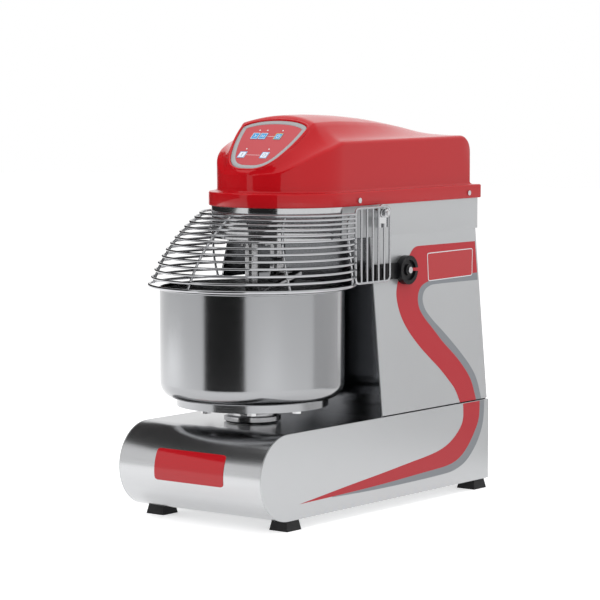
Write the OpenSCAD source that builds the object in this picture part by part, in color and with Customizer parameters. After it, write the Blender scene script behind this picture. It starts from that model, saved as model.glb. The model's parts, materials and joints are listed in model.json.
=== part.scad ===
// Small spiral dough mixer: a fixed head, a turning bowl, a turning spiral and a lifting wire guard.
// The row origin is at the bottom centre of the whole machine. +Z is up and -Y is the operator's side.
// Most pieces are drawn in the bowl frame: X = 0, Y = 0 on the bowl's axis and Z = 0 under the base.

/* [Base] */
// Half width of the base over its side plates
base_half_w = 136.5; // [130:0.5:145]
// Height of the base
base_h = 128.6; // [120:0.2:140]
// Centre of the round nose of the base
nose_y = -87; // [-95:1:-80]
// Rear face of the base
base_rear = 440; // [430:1:450]
// Height of the rubber feet
foot_h = 15.5; // [10:0.5:25]
// Thickness of the folded sheets
sheet = 2; // [1:0.5:3]

/* [Column] */
// Half width of the column where it meets the head
neck_half_w = 111.5; // [108:0.5:115]
// Half width of the column where it meets the base
column_half_w = 136; // [130:0.5:136]
// Front face of the column
column_front = 149.3; // [145:0.1:155]
// Rear face of the column
column_rear = 436; // [430:1:438]

/* [Head] */
// Underside of the head above the base
head_z = 404.5; // [400:0.5:410]
// Centre of the round front of the head
head_y = 78; // [74:1:82]
// Rear face of the head
head_rear = 442; // [438:1:444]
// Underside of the cover's skirt
band_z = 453.5; // [450:0.5:460]
// Height of the cover's skirt
band_h = 21.5; // [18:0.5:26]
// Half width of the cover's skirt
band_half_w = 115.4; // [113:0.1:120]
// Rear face of the cover's skirt
band_rear = 445.5; // [443:0.5:450]
// Half width of the cover above its skirt
cover_half_w = 107.4; // [104:0.1:110]
// Flat top of the cover
cover_top = 554; // [540:1:570]
// Highest point of the cover
pod_top = 590; // [580:1:600]
// Wall of the moulded cover
cover_wall = 3; // [2:0.5:4]

/* [Control panel] */
// Slope of the panel from the horizontal, in degrees
panel_tilt = 40.3; // [38:0.1:45]
// Length of the panel up its slope
panel_len = 108.8; // [105:0.2:112]
// Width of the bezel round the panel
bezel_w = 8; // [5:0.5:9]

/* [Bowl] */
// Outer radius of the bowl
bowl_r = 140; // [120:1:150]
// Underside of the bowl
bowl_z = 166; // [160:0.5:180]
// Height of the bowl
bowl_h = 167.5; // [150:0.5:180]
// Wall of the bowl
bowl_wall = 1.5; // [1:0.1:2.5]

/* [Spiral] */
// Distance from the bowl's axis to the spiral's axis
spiral_y = 62; // [60:1:70]
// Radius of the spiral's rod
spiral_rod_r = 7; // [6:0.5:8]
// Radius of the spiral at the middle of its rod
spiral_coil_r = 41; // [36:1:42]
// Radius of the fixed breaker bar
breaker_r = 10.5; // [8:0.5:12]

/* [Guard] */
// Number of guard rings
ring_count = 13; // [9:1:16]
// Half width of the guard at its side frames
side_x = 126; // [124:1:130]
// Front edge of the guard's side frames
side_front = 92; // [88:1:96]
// Rear edge of the guard's side frames
side_rear = 180; // [170:1:184]
// Radius of the guard's wire
wire_r = 2; // [1.5:0.1:2.5]
// Pivot of the guard, behind the bowl's axis
pivot_y = 165; // [160:1:170]
// Pivot of the guard, above the base
pivot_z = 441; // [436:1:446]

/* [Drive] */
// Distance from the bowl's axis to the lay shaft
lay_y = 215; // [210:1:225]
// Distance from the bowl's axis to the motor
motor_y = 340; // [335:1:345]
// Radius of the motor's pulley
motor_pulley_r = 18; // [16:1:20]
// Radius of the lay shaft's driven pulley
lay_input_r = 72; // [60:1:75]
// Radius of the lay shaft's upper driving pulley
lay_upper_r = 26; // [22:1:28]
// Radius of the spiral's pulley
spiral_pulley_r = 52; // [48:1:56]
// Radius of the lay shaft's lower driving pulley
lay_lower_r = 16; // [14:1:20]
// Radius of the bowl's pulley
bowl_pulley_r = 112; // [100:1:116]

/* [Hidden] */
$fn = 96;
slip = 0.3;                                  // gap between a belt and its pulley
gland_x = 50;
gland_out = 18;                              // reach of the cable gland behind the base
nose_r = base_h / 2;
flare = atan((column_half_w - neck_half_w) / (head_z - base_h));
panel_start = [0, -14.5, 511];               // bottom middle of the panel's face
foot_x = 119.5;
carrier_h = 11.5;                            // thickness of the bowl's carrier
carrier_bolts = [for (k = [0 : 7]) 45 * k - 52];  // turn of each bolt of the carrier
carrier_bolt_r = 96;                         // distance of those bolts from the bowl's axis
pin_r = 5;                                   // pivot pin of the guard
tab_x = side_x - wire_r - 3.1;               // inner face of the pivot tab
tab_low = 419;
foot_ys = [-72, 417.5];
arc_y = 53.2;                                // the guard's front profile is an arc behind the axis
arc_z = 235;
arc_r = 232;
side_low = 337;                              // lower wire of the side frame
side_top = 450.5;                            // upper wire of the side frame
rib_rear_y = 80;
weld = 0.3;                                  // how far a rib is sunk into its rings
ring_first = 26;                             // angle of the lowest ring on that arc
ring_step = 37.3 / (ring_count - 1);
bottom_wire_r = 2.5;
guard_front = arc_r * cos(ring_first) - arc_y + bottom_wire_r;
bowl_y = (guard_front - base_rear - gland_out) / 2;
steel = [0.76, 0.77, 0.79];
silver = [0.70, 0.71, 0.72];
dark = [0.12, 0.12, 0.13];
red = [0.78, 0.05, 0.08];

// ---- Placing ----

// Draws its children in the bowl frame.
module at_bowl() translate([0, bowl_y, foot_h]) children();

// Extrudes a (Y, Z) outline along +X from x0.
module across(x0, t) translate([x0, 0, 0]) rotate([90, 0, 90]) linear_extrude(t) children();

// A box between two corners.
module block(low, high) translate(low) cube(high - low);

// Both sides of the machine.
module both_sides() {
  children();
  mirror([1, 0, 0]) children();
}

// A round bar along X between two values of X.
module bar_x(x0, x1, r) translate([x0, 0, 0]) rotate([0, 90, 0]) cylinder(r = r, h = x1 - x0);

// A ring or tube along Z.
module tube(r_out, r_in, h) difference() {
  cylinder(r = r_out, h = h);
  translate([0, 0, -1]) cylinder(r = r_in, h = h + 2);
}

// A flat loop with round front and straight sides: the plan of the head, the skirt and the cover.
module head_plan(half_w, centre, rear) {
  translate([0, centre]) circle(r = half_w);
  translate([-half_w, centre]) square([2 * half_w, rear - centre]);
}

// ---- Base ----

// Side view of the base, grown by g and ending at the given rear.
module base_outline(g, rear) {
  translate([nose_y, nose_r]) circle(r = nose_r + g);
  translate([nose_y, -g]) square([rear - nose_y, base_h + 2 * g]);
}

module base_side() across(base_half_w - sheet, sheet) base_outline(0, base_rear);

module base_side_right() color(silver) at_bowl() base_side();

module base_side_left() color(silver) at_bowl() mirror([1, 0, 0]) base_side();

// Polished sheet that makes the nose and the deck, with openings for the bowl's housing and the drive.
module base_wrap() color(steel) at_bowl() difference() {
  across(sheet - base_half_w, 2 * (base_half_w - sheet)) difference() {
    base_outline(0, base_rear);
    base_outline(-sheet, base_rear + 5);
    translate([nose_y, -1]) square([base_rear - nose_y + 10, base_h - sheet + 1]);
  }
  cylinder(r = 40, h = 200);
  block([-106, 163, 100], [106, 428, 200]);
}

// Folded sheet that closes the base below and behind.
module base_tray() color(silver) at_bowl() difference() {
  union() {
    block([sheet - base_half_w, nose_y, 0], [base_half_w - sheet, base_rear, sheet]);
    block([sheet - base_half_w, base_rear - sheet, 0],
          [base_half_w - sheet, base_rear, base_h - sheet]);
  }
  for (x = [-foot_x, foot_x], y = foot_ys) translate([x, y, -1]) cylinder(r = 4.5, h = 4);
  translate([gland_x, base_rear - 5, 40]) rotate([-90, 0, 0]) cylinder(r = 8.2, h = 10);
}

// Plain plate wrapped on the nose.
module front_nameplate() color(red) at_bowl() translate([-66, nose_y, nose_r])
  rotate([90, 0, 90]) rotate_extrude(angle = 43, start = 148.5)
    translate([nose_r, 0]) square([0.6, 132]);

module rubber_feet() color(dark) at_bowl()
  for (x = [-foot_x, foot_x], y = foot_ys) translate([x, y, -foot_h])
    rotate([0, 0, 45]) cylinder(r1 = 17 * sqrt(2), r2 = 14 * sqrt(2), h = foot_h, $fn = 4);

module foot_studs() color(steel) at_bowl()
  for (x = [-foot_x, foot_x], y = foot_ys) translate([x, y, 0]) {
    cylinder(r = 4, h = 14);
    translate([0, 0, sheet]) cylinder(r = 7.5, h = 6.5, $fn = 6);
  }

module cable_gland() color(dark) at_bowl() translate([gland_x, base_rear, 40]) rotate([-90, 0, 0])
  difference() {
    union() {
      translate([0, 0, -sheet - 6]) cylinder(r = 11, h = 6, $fn = 6);
      translate([0, 0, -sheet - 1]) cylinder(r = 8, h = sheet + 2);
      cylinder(r = 12, h = 6, $fn = 6);
      translate([0, 0, 5]) cylinder(r = 10, h = gland_out - 5);
    }
    translate([0, 0, -20]) cylinder(r = 4.5, h = 50);
  }

// ---- Frame ----

// Welded frame: two sills under the deck, four posts, and plates for the bearings and the motor.
module machine_frame() color([0.35, 0.36, 0.38]) at_bowl() difference() {
  union() {
    both_sides() {
      block([104.5, -80, 101], [129.5, 430, base_h - sheet]);
      block([79.5, 165.5, sheet], [104.5, 190.5, head_z]);
      block([79.5, 402.5, sheet], [104.5, 427.5, head_z]);
      block([79.5, 190.5, 380], [104.5, 402.5, head_z]);
    }
    block([-104.5, -50, 118.6], [104.5, 50, base_h - sheet]);
    block([-104.5, 190.5, 101], [104.5, 240, 109]);
    block([-79.5, 165.5, sheet], [79.5, 190.5, 20]);
    block([-79.5, 402.5, sheet], [79.5, 427.5, 20]);
    block([-79.5, 295, 388], [79.5, 402.5, 396]);
  }
  translate([0, 0, 100]) cylinder(r = 35.1, h = 50);
  translate([0, lay_y, 90]) cylinder(r = 20, h = 40);
  translate([0, motor_y, 380]) cylinder(r = 27, h = 40);
}

module inverter_box() color([0.25, 0.26, 0.28]) at_bowl() difference() {
  block([-55, 400, 182], [55, column_rear - sheet, 330]);
  for (i = [0 : 9]) block([-40, 396, 200 + 12 * i], [40, 404, 204 + 12 * i]);
}

// ---- Column ----

// Side sheet: upright beside the head and leaning out below it.
module column_side() {
  across(neck_half_w - sheet, sheet)
    translate([head_y, head_z]) square([head_rear - head_y, band_z + 16 - head_z]);
  translate([neck_half_w, 0, head_z]) rotate([0, -flare, 0])
    block([-sheet, column_front, -(head_z - base_h) / cos(flare) + sheet], [0, column_rear, 0.2]);
}

module column_side_right() color(silver) at_bowl() difference() {
  column_side();
  cover_screw_holes();
  pivot_holes();
  translate([0, 229, 350]) bar_x(90, 150, 2.6);
}

module column_side_left() color(silver) at_bowl() difference() {
  mirror([1, 0, 0]) column_side();
  cover_screw_holes();
  pivot_holes();
}

module cover_screw_holes() for (y = [115, 410]) translate([0, y, 462]) bar_x(-150, 150, 2.3);

module pivot_holes() translate([0, pivot_y, pivot_z]) bar_x(-150, 150, 6.05);

// Face sheet between the two side sheets.
module column_face(y0, y1) {
  low = base_h;
  inside_low = column_half_w - sheet - 0.5;
  inside_top = neck_half_w - sheet - 0.3;
  translate([0, y1, 0]) rotate([90, 0, 0]) linear_extrude(y1 - y0)
    polygon([[-inside_low, low], [inside_low, low],
             [inside_top, head_z - 0.1], [-inside_top, head_z - 0.1]]);
}

module column_front_cover() color([0.45, 0.46, 0.48]) at_bowl()
  column_face(column_front, column_front + sheet);

module column_rear_cover() color(silver) at_bowl() difference() {
  column_face(column_rear - sheet, column_rear);
  for (i = [0 : 7]) block([-60, 430, 190 + 14 * i], [60, 440, 195 + 14 * i]);
}

// ---- Head ----

// Thick plate that carries the spiral's housing, the breaker bar, the lay shaft and the cover.
module head_plate() color([0.55, 0.56, 0.58]) at_bowl() difference() {
  translate([0, 0, head_z]) linear_extrude(8) head_plan(neck_half_w - sheet - 0.3, head_y, base_rear - 1);
  translate([0, spiral_y, 400]) cylinder(r = 26.1, h = 30);
  translate([0, lay_y, 400]) cylinder(r = 23.1, h = 30);
  translate([0, motor_y, 400]) cylinder(r = 14, h = 30);
  head_bolt_places() translate([0, 0, 400]) cylinder(r = 3.2, h = 30);
}

// Round polished front of the head.
module head_shroud() color(steel) at_bowl() difference() {
  translate([0, head_y, head_z]) tube(neck_half_w, neck_half_w - 1.5, band_z + 16 - head_z);
  block([-150, head_y, 390], [150, 250, 500]);
}

module head_rear_panel() color(silver) at_bowl()
  block([-neck_half_w + sheet, head_rear - sheet, head_z], [neck_half_w - sheet, head_rear, band_z + 16]);

// Figures of the cover's top as [Y, value] pairs: height of the side walls, height and half width of
// the pod, and how much lower the pod's shoulders are than its middle.
wall_heights = [[-23, 503], [-6, 507], [14, 520.3], [33, 532], [50, 539.5], [70, 546], [88, 552],
                [430, 554]];
pod_heights = [[60, pod_top], [130, pod_top + 0.5], [190, 588], [247, 583.5], [299, 577], [347, 570],
               [393, 561], [412, 556.5], [426, cover_top]];
pod_widths = [[-23, 6], [-16, 22], [-9, 41], [17.5, 57], [46, 64], [64, 68], [103, 65], [150, 61],
              [206, 55], [278, 45], [345, 33], [426, 20]];
pod_drops = [[60, 11], [206, 9.5], [278, 6.5], [345, 4], [426, 0]];
cover_front_y = 85.4;                        // centre of the cover's round front
cover_rear = 425.5;
cover_corner = 20;                           // radius of the cover's rear top edge
lip = 1.5;                                   // rim of the pod above the panel

function wall_half(y) = y > cover_front_y ? cover_half_w
  : sqrt(max(0, cover_half_w * cover_half_w - pow(y - cover_front_y, 2)));

function rear_drop(y) = y < cover_rear - cover_corner ? 0
  : cover_corner - sqrt(max(0, cover_corner * cover_corner - pow(y - cover_rear + cover_corner, 2)));

// Height of the pod: the sloping plane of the panel, or the crowned back behind it.
function pod_z(x, y) = min(panel_start[2] + lip + (y - panel_start[1]) * tan(panel_tilt),
  lookup(y, pod_heights) - lookup(y, pod_drops) * pow(x / lookup(y, pod_widths), 2));

// Outside the pod the top sweeps down in a hollow curve to the side wall.
function cover_z(x, y) =
  let (w = lookup(y, pod_widths), e = lookup(y, wall_heights), half = wall_half(y))
  (abs(x) <= w ? pod_z(x, y) : e + (pod_z(w, y) - e) * pow((half - abs(x)) / (half - w), 2.2))
  - rear_drop(y);

// Solid form of the cover down to the given height, drawn in by g: a grid of points over its plan.
module cover_form(g, low) {
  drop = g > 0 ? g + 2 : 0;
  ys = concat([for (a = [6 : 6 : 84]) cover_front_y - cover_half_w * cos(a)],
    [for (y = [85.4 : 20 : 385.4]) y], [for (a = [0 : 15 : 90]) cover_rear - cover_corner * (1 - sin(a))]);
  across_steps = concat([for (k = [0 : 4]) -2 + k / 4], [for (k = [-4 : 4]) 0.2 * k],
    [for (k = [0 : 4]) 1 + k / 4]);
  n = len(across_steps);
  last = len(ys) - 1;
  shrink_x = (cover_half_w - g) / cover_half_w;
  function plan_x(y, t) = let (w = lookup(y, pod_widths))
    abs(t) <= 1 ? w * t : sign(t) * (w + (abs(t) - 1) * (wall_half(y) - w));
  function plan_y(y) = y - (y > 400 ? g : 0) + max(0, cover_front_y - y) * (1 - shrink_x);
  function at(y, t) = let (x = plan_x(y, t)) [x * shrink_x, plan_y(y), cover_z(x, y) - drop];
  top = [for (y = ys, t = across_steps) at(y, t)];
  base = [for (p = top) [p[0], p[1], low]];
  count = len(top);
  function quad(a, b, c, d) = [[a, b, c], [a, c, d]];
  faces = concat(
    [for (i = [0 : last - 1], j = [0 : n - 2])
      each quad(i * n + j, (i + 1) * n + j, (i + 1) * n + j + 1, i * n + j + 1)],
    [for (i = [0 : last - 1], j = [0 : n - 2])
      let (a = count + i * n + j, b = a + n) each quad(a, a + 1, b + 1, b)],
    [for (j = [0 : n - 2]) each quad(j, j + 1, count + j + 1, count + j)],
    [for (j = [0 : n - 2]) let (r = last * n + j) each quad(r + 1, r, count + r, count + r + 1)],
    [for (i = [0 : last - 1]) let (a = i * n, b = a + n) each quad(b, a, count + a, count + b)],
    [for (i = [0 : last - 1]) let (a = i * n + n - 1, b = a + n) each quad(a, b, count + b, count + a)]);
  polyhedron(points = concat(top, base), faces = faces, convexity = 6);
}

module head_cover() color(red) at_bowl() difference() {
  union() {
    cover_form(0, band_z + 5);
    translate([0, 0, band_z]) linear_extrude(band_h) head_plan(band_half_w, head_y, band_rear);
  }
  cover_form(cover_wall, band_z + 2);
  translate([0, 0, band_z - 1]) linear_extrude(band_h + 1 - cover_wall)
    head_plan(band_half_w - cover_wall, head_y, band_rear - cover_wall);
  cover_screw_holes();
  on_panel(-1) linear_extrude(12) panel_outline(0.2);
  on_panel(-8) linear_extrude(10) polygon([[-33.5, 22], [25.5, 22], [25.5, 81], [-33.5, 81]]);
}

module cover_screws() color(steel) at_bowl() both_sides()
  for (y = [115, 410]) translate([0, y, 462]) {
    bar_x(104, band_half_w, 2);
    bar_x(band_half_w, band_half_w + 2.4, 4);
  }

// ---- Control panel ----

// Draws its children with X across the panel, Y up its slope and Z out of its face.
module on_panel(out) translate(panel_start) rotate([panel_tilt, 0, 0]) translate([0, 0, out]) children();

// Shield outline of the panel, grown by g: its right half from the bottom up, and the mirrored left half.
module panel_outline(g) {
  right = [[14, 0.6], [26, 4.5], [35, 11], [43, 21.5], [50, 37], [56, 55], [60, 74], [61.5, 88],
           [60.5, 93.5], [55, 98.3], [46, 102.2], [34, 105.6], [18, 108]];
  left = [for (k = [len(right) - 1 : -1 : 0]) [-right[k][0], right[k][1]]];
  offset(delta = g) polygon(concat([[0, 0]], right, [[0, panel_len]], left));
}

module panel_bezel() color([0.62, 0.63, 0.64]) at_bowl() on_panel(-1) linear_extrude(1.8) difference() {
  panel_outline(0);
  panel_outline(-bezel_w);
}

// Places of the keys on the panel: column and row.
function key_place(i) = [[-26, 73], [-11, 73], [18, 73], [-26, 30.7], [17, 30.7]][i];

// Outline of one key.
module key_outline(g) square([13 + 2 * g, 13.5 + 2 * g], center = true);

module panel_membrane() color([0.75, 0.2, 0.22]) at_bowl() on_panel(-1) linear_extrude(1.4) difference() {
  panel_outline(-bezel_w - 0.1);
  for (i = [0 : 4]) translate(key_place(i)) key_outline(0.35);
}

// Board with a small switch under each key, hung from four spacers behind the panel.
module control_board() color([0.1, 0.35, 0.2]) at_bowl() on_panel(-12) {
  linear_extrude(1.6) polygon([[-36, 17], [36, 17], [43, 84], [-43, 84]]);
  for (i = [0 : 4]) translate(key_place(i)) translate([-3, -3, 1.6]) cube([6, 6, 3.5]);
  for (p = [[-32, 22, 7.7], [32, 22, 7.7], [-38, 79, 8.45], [38, 79, 8.45]])
    translate([p[0], p[1], 0]) cylinder(r = 3, h = p[2]);
}

// One key with its stem; it stands 0.6 mm out of the membrane.
module key(i) at_bowl() on_panel(0) translate(key_place(i)) {
  translate([0, 0, -1]) linear_extrude(2) key_outline(0);
  translate([0, 0, -5.6]) cylinder(r = 2, h = 5);
}

module key_low_speed() color([0.2, 0.5, 0.8]) key(0);
module key_high_speed() color([0.2, 0.5, 0.8]) key(1);
module key_timer() color([0.2, 0.5, 0.8]) key(2);
module key_start() color([0.9, 0.92, 0.95]) key(3);
module key_stop() color([0.9, 0.92, 0.95]) key(4);

// ---- Guard ----

function ring_angle(i) = ring_first + i * ring_step;
function ring_reach(i) = arc_r * cos(ring_angle(i)) - arc_y;
function ring_z(i) = arc_z + arc_r * sin(ring_angle(i));
// A ring meets both side frames, so its centre follows from its reach.
function ring_centre(i) = (side_x * side_x + side_front * side_front - ring_reach(i) * ring_reach(i))
  / (2 * (ring_reach(i) + side_front));
function ring_radius(i) = ring_reach(i) + ring_centre(i);
function ring_wire(i) = i == 0 ? bottom_wire_r : wire_r;

module guard_rings() color(steel) at_bowl() for (i = [0 : ring_count - 1]) {
  half = 90 + asin((side_front - wire_r - 0.4 - ring_centre(i)) / ring_radius(i));
  translate([0, ring_centre(i), ring_z(i)]) rotate([0, 0, -90 - half])
    rotate_extrude(angle = 2 * half) translate([ring_radius(i), 0]) circle(r = ring_wire(i), $fn = 24);
}

// Ribs inside the rings: one at the front, one towards each side and one ahead of each side frame.
module guard_ribs() color(steel) at_bowl() {
  rib(0, 0);
  both_sides() {
    rib(60, 40);
    rib(rib_rear_turn(0), rib_rear_turn(ring_count - 1));
  }
}

// Turn from the front at which ring i passes the rear ribs.
function rib_rear_turn(i) = 90 + asin((rib_rear_y - ring_centre(i)) / ring_radius(i));

// A rib touches every ring from inside, and its turn from the front changes evenly on its way up.
module rib(low_turn, top_turn) {
  n = 16;
  points = [for (k = [0 : n])
    rib_point(k * (ring_count - 1) / n, low_turn + (top_turn - low_turn) * k / n)];
  swept_rod(points, wire_r, 10);
}

function rib_point(i, turn) =
  let (r = ring_radius(i) - 2 * wire_r + weld)
  [r * sin(turn), ring_centre(i) - r * cos(turn), ring_z(i)];

// Round rod swept along a list of points.
module swept_rod(points, r, sides) {
  last = len(points) - 1;
  function tangent(k) = let (d = points[min(k + 1, last)] - points[max(k - 1, 0)]) d / norm(d);
  function side(k) = let (t = tangent(k), c = cross(t, abs(t[2]) < 0.9 ? [0, 0, 1] : [1, 0, 0]))
    c / norm(c);
  verts = [for (k = [0 : last], a = [0 : sides - 1])
    let (u = side(k), v = cross(tangent(k), u), t = 360 * a / sides)
    points[k] + r * (cos(t) * u + sin(t) * v)];
  walls = [for (k = [0 : last - 1], a = [0 : sides - 1])
    let (b = (a + 1) % sides) [k * sides + a, (k + 1) * sides + a, (k + 1) * sides + b, k * sides + b]];
  start = [for (a = [0 : sides - 1]) a];
  end = [for (a = [sides - 1 : -1 : 0]) last * sides + a];
  polyhedron(points = verts, faces = concat([start, end], walls), convexity = 6);
}

// Round-cornered wire frame with upright bars.
module side_grille() color(steel) at_bowl() translate([side_x, 0, 0]) {
  corner = 8;
  y0 = side_front + corner;
  y1 = side_rear - corner;
  z0 = side_low + corner;
  z1 = side_top - corner;
  for (y = [side_front, side_rear]) translate([0, y, z0]) cylinder(r = wire_r, h = z1 - z0, $fn = 24);
  for (z = [side_low, side_top]) translate([0, y0, z]) rotate([-90, 0, 0])
    cylinder(r = wire_r, h = y1 - y0, $fn = 24);
  for (c = [[y1, z1, 0], [y0, z1, 90], [y0, z0, 180], [y1, z0, 270]])
    translate([0, c[0], c[1]]) rotate([90, 0, 90]) rotate([0, 0, c[2]])
      rotate_extrude(angle = 90) translate([corner, 0]) circle(r = wire_r, $fn = 24);
  for (i = [1 : 5]) translate([0, side_front + i * (side_rear - side_front) / 6, side_low])
    cylinder(r = 1.8, h = i == 5 ? tab_low - side_low + 6 : side_top - side_low, $fn = 24);
}

// Plain plate that closes the guard on the left, with its own pivot hole.
module side_plate() color(steel) at_bowl() difference() {
  across(-tab_x - 3, 3)
    polygon([[side_front, side_top], [side_rear, side_top], [side_rear, side_low],
             [side_front - 13, side_low], [side_front - 13, side_low + 15], [side_front, side_low + 55]]);
  translate([0, pivot_y, pivot_z]) bar_x(-150, -100, pin_r + 0.05);
}

// Round-topped plate welded inside the grille, with the pivot hole.
module pivot_tab() color(steel) at_bowl() difference() {
  across(tab_x, 3) {
    translate([pivot_y, pivot_z]) circle(r = 13);
    translate([pivot_y - 13, tab_low]) square([26, pivot_z - tab_low]);
  }
  translate([0, pivot_y, pivot_z]) bar_x(100, 150, pin_r + 0.05);
}

// Shouldered bolts that the guard turns on, with their washers and nuts.
module pivot_bolts() color(steel) at_bowl() both_sides() translate([0, pivot_y, pivot_z]) {
  bar_x(neck_half_w - sheet - 6, neck_half_w - sheet, 10);
  bar_x(neck_half_w - sheet - 1, neck_half_w, 6);
  bar_x(neck_half_w, tab_x - 0.6, 11);
  bar_x(tab_x - 1, tab_x + 4, pin_r);
  bar_x(tab_x + 3.6, tab_x + 5.2, 6.8);
  rotate([0, 90, 0]) translate([0, 0, tab_x + 5]) cylinder(r = 6.8, h = 6, $fn = 6);
  bar_x(tab_x + 10, tab_x + 14, 3.5);
}

// ---- Interlock ----

interlock_y = 229;
interlock_z = 350;

function wall_x(z) = neck_half_w + (head_z - z) * tan(flare);

module interlock_arm() color(dark) at_bowl() difference() {
  block([wall_x(interlock_z - 13) + 0.2, 150, interlock_z - 12.5],
        [wall_x(interlock_z - 13) + 4.5, interlock_y, interlock_z + 12.5]);
  translate([0, interlock_y, interlock_z]) bar_x(100, 150, 22.6);
}

module interlock_cap() color(dark) at_bowl() translate([0, interlock_y, interlock_z]) difference() {
  bar_x(wall_x(interlock_z - 23) + 0.2, 129, 22.5);
  difference() {
    bar_x(125.5, 140, 16);
    bar_x(120, 140, 9);
  }
  block([100, 7, -2.6], [140, 30, 2.6]);
  bar_x(100, 140, 2.7);
}

module interlock_screw() color(steel) at_bowl() translate([0, interlock_y, interlock_z]) {
  bar_x(106, 129, 2.4);
  bar_x(129, 131.2, 5);
}

module guard_magnet() color(dark) at_bowl() block([tab_x + 1.5, 158, 342], [tab_x + 3, 172, 357]);

// ---- Bowl ----

module bowl() color(steel) at_bowl() translate([0, 0, bowl_z]) rotate_extrude() difference() {
  bowl_section(0);
  bowl_section(bowl_wall);
}

// Half section of the bowl, drawn in by g: round lower corner and a rolled rim.
module bowl_section(g) {
  corner = 24;
  difference() {
    translate([0, g]) square([bowl_r - g, bowl_h - g + (g > 0 ? 1 : 0)]);
    translate([bowl_r - corner, -1]) square([corner + 1, corner + 1]);
  }
  intersection() {
    translate([bowl_r - corner, corner]) circle(r = corner - g);
    translate([bowl_r - corner, g]) square([corner, corner]);
  }
  if (g == 0) translate([bowl_r, bowl_h - 1.8]) circle(r = 1.8, $fn = 32);
}

module bowl_carrier() color(steel) at_bowl() difference() {
  translate([0, 0, bowl_z - carrier_h]) cylinder(r = 115.4, h = carrier_h);
  translate([0, 0, bowl_z - 20]) cylinder(r = 14.05, h = 30);
  for (a = carrier_bolts) rotate([0, 0, a]) translate([carrier_bolt_r, 0, bowl_z - 20])
    cylinder(r = 4.2, h = 30);
}

module bowl_bolts() color(steel) at_bowl() for (a = carrier_bolts) rotate([0, 0, a])
  translate([carrier_bolt_r, 0, bowl_z]) {
    translate([0, 0, -carrier_h]) cylinder(r = 4, h = carrier_h - 0.1);
    translate([0, 0, -carrier_h - 5.5]) cylinder(r = 7.5, h = 5.5, $fn = 6);
  }

// Stepped hub above the deck and shaft below it.
module bowl_spindle() color([0.6, 0.61, 0.63]) at_bowl() rotate_extrude() polygon([
  [0, 18], [12, 18], [12, 100], [14, 100], [14, 131.5], [43.5, 131.5], [43.5, 138], [38, 140],
  [38, 143], [43.5, 145], [43.5, bowl_z - carrier_h], [14, bowl_z - carrier_h], [14, bowl_z], [0, bowl_z]]);

module spindle_bearings() color(steel) at_bowl() {
  translate([0, 0, 60]) tube(24, 12.05, 14);
  translate([0, 0, 104]) tube(26, 14.05, 14);
}

module spindle_housing() color([0.4, 0.41, 0.43]) at_bowl() difference() {
  union() {
    translate([0, 0, 58]) cylinder(r = 35, h = 70);
    translate([0, 0, 108.6]) cylinder(r = 48, h = 10);
  }
  translate([0, 0, 50]) cylinder(r = 18, h = 100);
  translate([0, 0, 50]) cylinder(r = 24.05, h = 24);
  translate([0, 0, 104]) cylinder(r = 26.05, h = 40);
}

// Flat-faced pulley with two rims, on a shaft of radius bore.
module pulley(r, h, bore) difference() {
  union() {
    cylinder(r = r, h = h);
    cylinder(r = r + 3, h = 1.6);
    translate([0, 0, h - 1.6]) cylinder(r = r + 3, h = 1.6);
  }
  translate([0, 0, -1]) cylinder(r = bore, h = h + 2);
  if (r > 40) for (a = [0 : 60 : 300]) rotate([0, 0, a]) translate([(r + bore) / 2, 0, -1])
    cylinder(r = (r - bore) / 5, h = h + 2);
}

// Flat belt round two pulleys on the Y axis, standing off both by the slip gap.
module belt(y1, r1, y2, r2, h) linear_extrude(h) difference() {
  belt_loop(y1, r1 + 3, y2, r2 + 3);
  belt_loop(y1, r1 + slip, y2, r2 + slip);
}

module belt_loop(y1, r1, y2, r2) hull() {
  translate([0, y1]) circle(r = r1, $fn = 96);
  translate([0, y2]) circle(r = r2, $fn = 96);
}

module bowl_pulley() color([0.5, 0.5, 0.52]) at_bowl() translate([0, 0, 28])
  pulley(bowl_pulley_r, 18, 12.05);

module bowl_belt() color(dark) at_bowl() translate([0, 0, 31])
  belt(0, bowl_pulley_r, lay_y, lay_lower_r, 12);

// ---- Breaker and spiral ----

// Places of the bolts under the head: three round the breaker bar and five round the spiral's housing.
module head_bolt_places() {
  for (a = [150, 270, 30]) rotate([0, 0, a]) translate([18, 0, 0]) children();
  translate([0, spiral_y, 0]) for (a = [20, 90, 160, 250, 290])
    rotate([0, 0, a]) translate([34, 0, 0]) children();
}

module breaker_bar() color(steel) at_bowl() difference() {
  union() {
    translate([0, 0, 188 + breaker_r]) cylinder(r = breaker_r, h = head_z - 188 - breaker_r);
    translate([0, 0, 188 + breaker_r]) sphere(r = breaker_r);
    translate([0, 0, head_z - 5]) cylinder(r = 24, h = 5);
  }
  for (a = [150, 270, 30]) rotate([0, 0, a]) translate([18, 0, 390]) cylinder(r = 3.2, h = 30);
}

module head_bolts() color(steel) at_bowl() {
  for (a = [150, 270, 30]) rotate([0, 0, a]) translate([18, 0, head_z - 5]) head_bolt();
  translate([0, spiral_y, head_z - 5]) for (a = [20, 90, 160, 250, 290]) rotate([0, 0, a])
    translate([34, 0, 0]) head_bolt();
}

module head_bolt() {
  translate([0, 0, -4]) cylinder(r = 5, h = 4, $fn = 6);
  cylinder(r = 3, h = 20);
}

// Hub, level arm and a rod that winds down to the bowl's floor and back to the axis.
spiral_top = 352;
spiral_low = bowl_z + bowl_wall + 4 + spiral_rod_r;

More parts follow.
